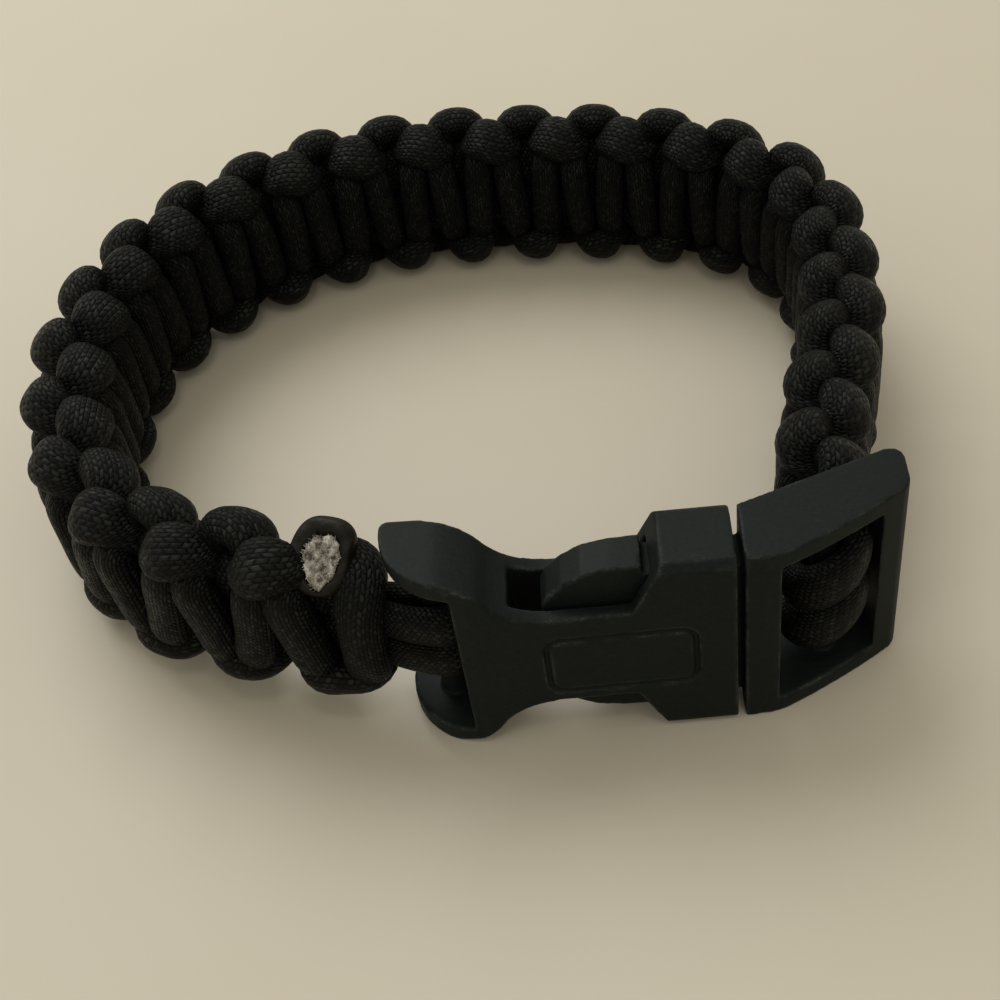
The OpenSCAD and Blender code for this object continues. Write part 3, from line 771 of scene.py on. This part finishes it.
# the bar, the place and the way in; then the width, tilt and angles of the turn
at_receptacle = (receptacle_bar, -KNOT_LEAD, 1), (4.1, 0.0, -80, 80)
at_plug = (plug_bar, BAND_LENGTH, -1), (4.5, -2.1, 370, 170)
for name, level, (place, turn) in (
        ("receptacle_loop_upper", 2.5, at_receptacle),
        ("receptacle_loop_lower", -1.6, at_receptacle),
        ("plug_loop_upper", 2.7, at_plug), ("plug_loop_lower", -2.6, at_plug)):
    rows = bar_loop(*place, level, *turn)
    dress(sweep_points(name, catmull_rom(rows, 8)), name)

# %% [markdown]
# ## Moulded buckle
# Injection-moulded acetal has no sharp edges: every corner has a radius of a third of a
# millimetre or so, and that is where it catches the light. The packed solids have the right
# outline with sharp edges. A copy of each is rebuilt on a fine grid and its points are pulled
# towards their neighbours a few times. Flat sides stay where they are, and every edge, however
# small, ends up with the same soft radius. How far a point was pulled in shows where the edges
# are, which is kept for the wear and for a highlight painted on the edges.

# %% Round the moulded edges
GRID, PULLS = 0.16 * MM, 5
FULL_EDGE = 0.05 * MM           # a point pulled in this far lies fully on an edge, for wear and painted highlight


def pulled_in(mesh):
    """Where the points of a mesh end up after some pulls towards their neighbours."""
    points = rows_of(mesh.vertices, "co")
    count = len(points)
    one, other = rows_of(mesh.edges, "vertices", 2, int).T
    neighbours = np.bincount(one, minlength=count) + np.bincount(other, minlength=count)
    for _ in range(PULLS):
        total = np.stack([np.bincount(one, points[other, i], count)
                          + np.bincount(other, points[one, i], count) for i in range(3)], -1)
        points += 0.5 * (total / neighbours[:, None] - points)
    return points


def moulded(name, node, finish):
    """A packed solid again as one closed skin with soft edges, and its edges marked."""
    obj = add_object(name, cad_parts[node].data.copy())
    rebuild = obj.modifiers.new("fine grid", "REMESH")
    rebuild.mode, rebuild.voxel_size, rebuild.use_smooth_shade = "VOXEL", GRID, True
    apply_modifiers(obj)
    mesh = obj.data
    mesh.materials.clear()
    mesh.materials.append(finish)
    start, points = rows_of(mesh.vertices, "co"), pulled_in(mesh)
    mesh.vertices.foreach_set("co", points.ravel())
    mesh.update()
    pulled = ((start - points) * rows_of(mesh.vertex_normals, "vector")).sum(1)
    edge = np.clip(pulled / FULL_EDGE, 0, 1).astype(np.float32)
    mesh.attributes.new("edge", "FLOAT", "POINT").data.foreach_set("value", edge)
    print(f"{name}: {len(mesh.polygons)} faces, {signed_volume(mesh) / MM ** 3:.0f} mm3, "
          f"on edges {100 * np.mean(edge > 0.3):.0f} %")
    return obj


print("grid, mm:", GRID / MM, " pulls:", PULLS)

# %% [markdown]
# ## Black acetal
# Moulded acetal is a deep grey-black with a fine matt texture. Hands polish it first where it
# stands proud, so the rounded edges are smoother and a little lighter, and the flat sides carry
# faint scuffs. The edges are painted lighter than that wear alone would make them, as a painted
# highlight where they catch the light. Wear and highlight come from the mask stored above, broken
# up by noise.

# %% Handling wear and edge highlight group
wear_group, t, given, result = new_group(
    "Handling wear and edge highlight", "ShaderNodeTree",
    [("Scuff Size", "NodeSocketFloat", 1.6 * MM), ("Edge", "NodeSocketFloat", 0.0)],
    [("Wear And Highlight", "NodeSocketFloat"), ("Scuffs", "NodeSocketFloat"), ("Grain", "NodeSocketFloat")])
here = t.here()
blotches = t.noise(here, t.math("DIVIDE", 1.0, given["Scuff Size"]), 4.0, 0.65)
stretched = t.add("ShaderNodeMapping", {"vector_type": "POINT"}, Vector=here,
                  Rotation=(0.3, 0.5, 0.9), Scale=(260.0, 2600.0, 2600.0)).outputs[0]
scratches = t.between(t.noise(stretched, 1.0, 2.0), 0.66, 0.74)     # ten times as long
specks = t.between(t.noise(here, 5200.0, 2.0), 0.4, 0.62, 0.25, 1.0)
# lighter edges: partly real wear, partly a painted highlight
worn_and_highlit_edge = t.math("MULTIPLY", t.math("MULTIPLY", given["Edge"], specks),
                   t.between(blotches, 0.4, 0.68))
scuffs = t.math("MULTIPLY", scratches, t.between(blotches, 0.5, 0.75))
for label, value in (("Wear And Highlight", worn_and_highlit_edge), ("Scuffs", scuffs),
                     ("Grain", t.noise(here, 3200.0, 2.0))):
    t.feed(result[label], value)
print("handling wear: nodes", len(wear_group.nodes))

# %% Black plastic
black_plastic, m, shader = new_material("black_plastic", Specular_IOR_Level=0.08)
edge = m.add("ShaderNodeAttribute", {"attribute_name": "edge"}).outputs["Fac"]
wear = m.add("ShaderNodeGroup", {"node_tree": wear_group}, Scuff_Size=2.2 * MM, Edge=edge).outputs
plain = m.ramp(wear["Grain"], [(0.3, (0.005, 0.0072, 0.0066)), (0.7, (0.0078, 0.0106, 0.0096))])
# edges painted lighter: partly wear, partly a painted highlight
rubbed_and_highlit = m.mix(wear["Wear And Highlight"], plain, (0.05, 0.054, 0.048, 1.0))
scuffed = m.mix(m.math("MULTIPLY", wear["Scuffs"], 0.5), rubbed_and_highlit, (0.03, 0.032, 0.03, 1.0))
m.feed(shader.inputs["Base Color"], scuffed)
m.feed(shader.inputs["Roughness"], m.between(wear["Wear And Highlight"], 0.0, 1.0, 0.5, 0.34))
m.bump(shader, wear["Grain"], strength=0.35, distance=0.03 * MM)
for name, node in (("receptacle", "buckle_receptacle"), ("plug", "buckle_plug")):
    dress(moulded(name, node, black_plastic), node)

# %% [markdown]
# ## The melted end
# The cut end was held in a flame until the black sheath ran and was pressed flat. It set as a
# smooth lip, thick at the top where it ran over, round the white inner yarns. It could be carved
# from a ball, but its section is nearly the same all round, so the lip is a set of rings about
# the core's outline, closed at both ends and smoothed by subdivision.

# %% Place on the melted end
END_WIDTH, END_HEIGHT, END_THICKNESS = 5.8, 7.0, 1.9
END_TILT = math.radians(35)              # how far it leans out from lying flat
end_along, end_outward = (axis[0] for axis in band_axes(np.array([END_PLACE])))
end_middle = to_world([(END_PLACE, 0.0, END_UP)])[0]
END_A = np.array([*end_along, 0.0])
END_N = np.array([*(math.sin(END_TILT) * end_outward), math.cos(END_TILT)])
END_B = np.array([*(-math.cos(END_TILT) * end_outward), math.sin(END_TILT)])


def on_end(a, b, h):
    """Points on the melted end: a along the band, b up its face, h out of it, in mm."""
    a, b, h = np.broadcast_arrays(a, b, h)
    return end_middle + a[..., None] * END_A + b[..., None] * END_B + h[..., None] * END_N


print("melted end at, mm:", np.round(end_middle, 2))

# %% Outlines of the lip and the core
round_turn = np.linspace(0, 2 * math.pi, 48, endpoint=False)
cosines, sines = np.cos(round_turn), np.sin(round_turn)


def waves(*parts):
    """Sine waves round the end: (height, number, start) each."""
    return sum(height * np.sin(number * round_turn + start) for height, number, start in parts)


lip_radius = ((np.abs(cosines / (END_WIDTH / 2)) ** 2.5
               + np.abs(sines / (END_HEIGHT / 2)) ** 2.5) ** -0.4
              * (0.98 + waves((0.02, 3, 1.0), (0.015, 5, 2.0))))
lip_outline = np.stack([lip_radius * cosines, lip_radius * sines], -1)
core_middle = np.array([-0.2, -0.42])    # the core sits low and towards the receptacle
core_radius = (1 / np.hypot(cosines / 1.6, sines / 2.4)
               * (0.98 + waves((0.06, 3, 0.4), (0.05, 7, 0.0), (0.045, 11, 1.2))))
core_outline = core_middle + np.stack([core_radius * cosines, core_radius * sines], -1)
print("lip, mm:", np.round(np.ptp(lip_outline, axis=0), 2),
      " core, mm:", np.round(np.ptp(core_outline, axis=0), 2))


# %% A solid from rings
def ring_solid(name, rings, front, back, finish, levels):
    """A closed solid from rings of points, with a middle point at either end."""
    sectors = len(rings[0])
    points = [front] + [p for ring in rings for p in ring] + [back]
    faces = [(0, 1 + i, 1 + (i + 1) % sectors) for i in range(sectors)]
    for r in range(len(rings) - 1):
        a = 1 + r * sectors
        faces += [(a + i, a + sectors + i, a + sectors + (i + 1) % sectors, a + (i + 1) % sectors)
                  for i in range(sectors)]
    a, last = 1 + (len(rings) - 1) * sectors, len(points) - 1
    faces += [(a + i, last, a + (i + 1) % sectors) for i in range(sectors)]
    mesh = bpy.data.meshes.new(name)
    mesh.from_pydata((np.array(points) * MM).tolist(), [], faces)
    mesh.materials.append(finish)
    for face in mesh.polygons:
        face.use_smooth = True
    if signed_volume(mesh) < 0:
        mesh.flip_normals()
    obj = add_object(name, mesh)
    smooth = obj.modifiers.new("smooth", "SUBSURF")
    smooth.levels = smooth.render_levels = levels
    apply_modifiers(obj)
    print(f"{name}: {len(obj.data.polygons)} faces, {signed_volume(obj.data) / MM ** 3:.1f} mm3")
    return obj


print("points in each ring:", len(round_turn))

# %% Melted lip
melted_rim, m, shader = new_material("melted_rim", Specular_IOR_Level=0.12)
flow = m.noise(m.here(), 900.0, 3.0, 0.55)
m.feed(shader.inputs["Base Color"], m.ramp(flow, [(0.3, (0.0034, 0.0032, 0.002)),
                                                  (0.7, (0.009, 0.0082, 0.0052))]))
m.feed(shader.inputs["Roughness"], m.between(flow, 0.3, 0.7, 0.5, 0.34))
m.bump(shader, flow, strength=0.7, distance=0.2 * MM)

lumps = waves((0.08, 3, 2), (0.06, 5, 0), (0.05, 9, 1))
rings = []                 # shares of the way to the two outlines, and heights in mm
for core_share, towards_lip, height in (
        (0.6, 0.0, -0.95), (0.99, 0.0, -0.85), (1.0, 0.0, -0.35), (1.03, 0.05, -0.06),
        (1.0, 0.35, 0.05), (1.0, 0.65, -0.02), (1.0, 0.88, -0.25), (1.0, 1.0, -0.7),
        (1.0, 1.02, -1.2), (1.0, 0.93, -1.65), (1.0, 0.7, -1.85)):
    flat = core_middle + core_share * (core_outline - core_middle)
    flat = flat + towards_lip * (lip_outline - flat)
    raised = height + lumps * (0.0 < towards_lip < 1.0 and height > -0.5)
    rings.append(on_end(flat[:, 0], flat[:, 1], raised))
lip = ring_solid("melted_lip", rings, on_end(*core_middle, -1.0),
                 on_end(0.0, 0.0, -END_THICKNESS), melted_rim, 2)
dress(lip, "cord_end_rim")

# %% [markdown]
# ## White core
# Inside the sheath are a few white yarns. Cut and singed, their ends stand up ragged inside the
# lip. Single fibres could be drawn by hand, but a few hundred of them are a scatter with a rule:
# a tree puts short tapered ones on the front of a lumpy disc, each leaning its own way.

# %% Fibre tree
fibre_group, t, given, result = new_group(
    "Cut fibres", "GeometryNodeTree",
    [("Core", "NodeSocketGeometry"), ("Facing", "NodeSocketVector"),
     ("Density", "NodeSocketFloat", 3.2e7), ("Length", "NodeSocketFloat", 0.34 * MM),
     ("Thickness", "NodeSocketFloat", 0.05 * MM), ("Splay", "NodeSocketFloat", 0.9),
     ("Seed", "NodeSocketInt", 4), ("Finish", "NodeSocketMaterial")],
    [("Fibres", "NodeSocketGeometry")])


def random_value(kind, low, high, seed):
    """A random number or vector for each point."""
    node = t.add("FunctionNodeRandomValue", {"data_type": kind}, Seed=seed)
    first = 0 if kind == "FLOAT_VECTOR" else 2     # each kind has sockets of its own
    t.feed(node.inputs[first], low)
    t.feed(node.inputs[first + 1], high)
    return node.outputs[0 if kind == "FLOAT_VECTOR" else 1]


normal = t.add("GeometryNodeInputNormal").outputs[0]
front = t.math("GREATER_THAN", t.vector("DOT_PRODUCT", normal, given["Facing"]), 0.3)
scatter = t.add("GeometryNodeDistributePointsOnFaces", {"distribute_method": "RANDOM"},
                Mesh=given["Core"], Selection=front, Density=given["Density"],
                Seed=given["Seed"]).outputs
cone = t.add("GeometryNodeMeshCone", Vertices=5, Side_Segments=1, Radius_Top=0.35,
             Radius_Bottom=1.0, Depth=1.0).outputs["Mesh"]
sway = t.vector("SCALE", random_value("FLOAT_VECTOR", (-1, -1, -1), (1, 1, 1), given["Seed"]),
                given["Splay"])
heading = t.vector("ADD", scatter["Normal"], sway)
aim = t.add("FunctionNodeAlignRotationToVector", {"axis": "Z"}, Vector=heading).outputs[0]
tall = t.math("MULTIPLY", given["Length"], random_value("FLOAT", 0.35, 1.3, 11))
size = t.add("ShaderNodeCombineXYZ", X=given["Thickness"], Y=given["Thickness"],
             Z=tall).outputs[0]
placed = t.add("GeometryNodeInstanceOnPoints", Points=scatter["Points"], Instance=cone,
               Rotation=aim, Scale=size).outputs[0]
both = t.add("GeometryNodeJoinGeometry")
t.feed(both.inputs[0], placed)
t.feed(both.inputs[0], given["Core"])
whole = t.add("GeometryNodeRealizeInstances", Geometry=both.outputs[0]).outputs[0]
whole = t.add("GeometryNodeSetMaterial", Geometry=whole, Material=given["Finish"]).outputs[0]
t.feed(result["Fibres"], whole)
print("fibre tree: nodes", len(fibre_group.nodes))

# %% White core
white_core, m, shader = new_material("white_core", Roughness=0.75, Specular_IOR_Level=0.25)
pits = m.noise(m.here(), 1500.0, 3.0, 0.6)
m.feed(shader.inputs["Base Color"], m.ramp(pits, [
    (0.4, (0.085, 0.072, 0.055)), (0.5, (0.27, 0.255, 0.215)), (0.62, (0.44, 0.42, 0.365))]))
m.bump(shader, pits, strength=0.6, distance=0.15 * MM)

rings = []
for share, height in ((0.15, 0.06), (0.3, 0.06), (0.45, 0.05), (0.6, 0.04), (0.75, 0.03),
                      (0.9, 0.0), (1.0, -0.15), (0.98, -0.6), (0.7, -0.75)):
    flat = core_middle + share * (core_outline - core_middle)
    bumpy = [0.2 * noise.noise(Vector((*(4.3 * p), 5.0))) if height > -0.1 else 0.0 for p in flat]
    rings.append(on_end(flat[:, 0], flat[:, 1], height + np.array(bumpy)))
core = ring_solid("core_yarns", rings, on_end(*core_middle, 0.0), on_end(*core_middle, -0.78),
                  white_core, 1)
run_tree(core, fibre_group, Facing=tuple(END_N), Finish=white_core)
dress(core, "cord_end_core")
print("with its fibres: faces", len(core.data.polygons))

# %% [markdown]
# ## Floor and light
# The table in the photograph is cream, and the light on it is soft and comes from behind. A sky
# picture would do that, but three plain sources are easier to set: a warm even world that fills
# the shadows, a wide disk at the back, whose size sets how soft a shadow's edge is, and a small
# lamp above for the short glints on the buckle. The floor is stage, not part of the object.

# %% Floor
REACH = 2.5
floor_mesh = bpy.data.meshes.new("floor")
floor_mesh.from_pydata([(-REACH, -REACH, 0), (REACH, -REACH, 0), (REACH, REACH, 0),
                        (-REACH, REACH, 0)], [], [(0, 1, 2, 3)])
floor = add_object("floor", floor_mesh)
floor_material, m, shader = new_material("floor", Roughness=0.6)
cloudy = m.noise(m.here(), 9.0, 4.0, 0.6)
m.feed(shader.inputs["Base Color"], m.ramp(cloudy, [(0.35, (0.452, 0.41, 0.322)),
                                                    (0.65, (0.468, 0.43, 0.345))]))
floor_mesh.materials.append(floor_material)
print("floor, m:", 2 * REACH)

# %% Light
world = bpy.data.worlds.new("studio")
world.use_nodes = True
room = world.node_tree.nodes["Background"].inputs
room["Color"].default_value = (1.0, 0.95, 0.82, 1.0)
room["Strength"].default_value = 0.74
bpy.context.scene.world = world


def soft_light(name, place, size, power, colour):
    """A disk of light that looks at the bracelet."""
    lamp = bpy.data.lights.new(name, "AREA")
    lamp.shape, lamp.size, lamp.energy, lamp.color = "DISK", size, power, colour
    place = Vector(place)
    aim = (-place).to_track_quat("-Z", "Y").to_matrix().to_4x4()
    add_object(name, lamp).matrix_world = Matrix.Translation(place) @ aim
    print(f"{name}: {size} m wide, {power} W, {place.length:.2f} m away")


soft_light("window", (-0.32, 0.5, 0.76), 0.75, 5.7, (0.97, 0.98, 1.0))
soft_light("lamp overhead", (0.1, -0.3, 0.9), 0.12, 0.5, (1.0, 0.97, 0.9))

bpy.context.scene.view_settings.view_transform = "Standard"
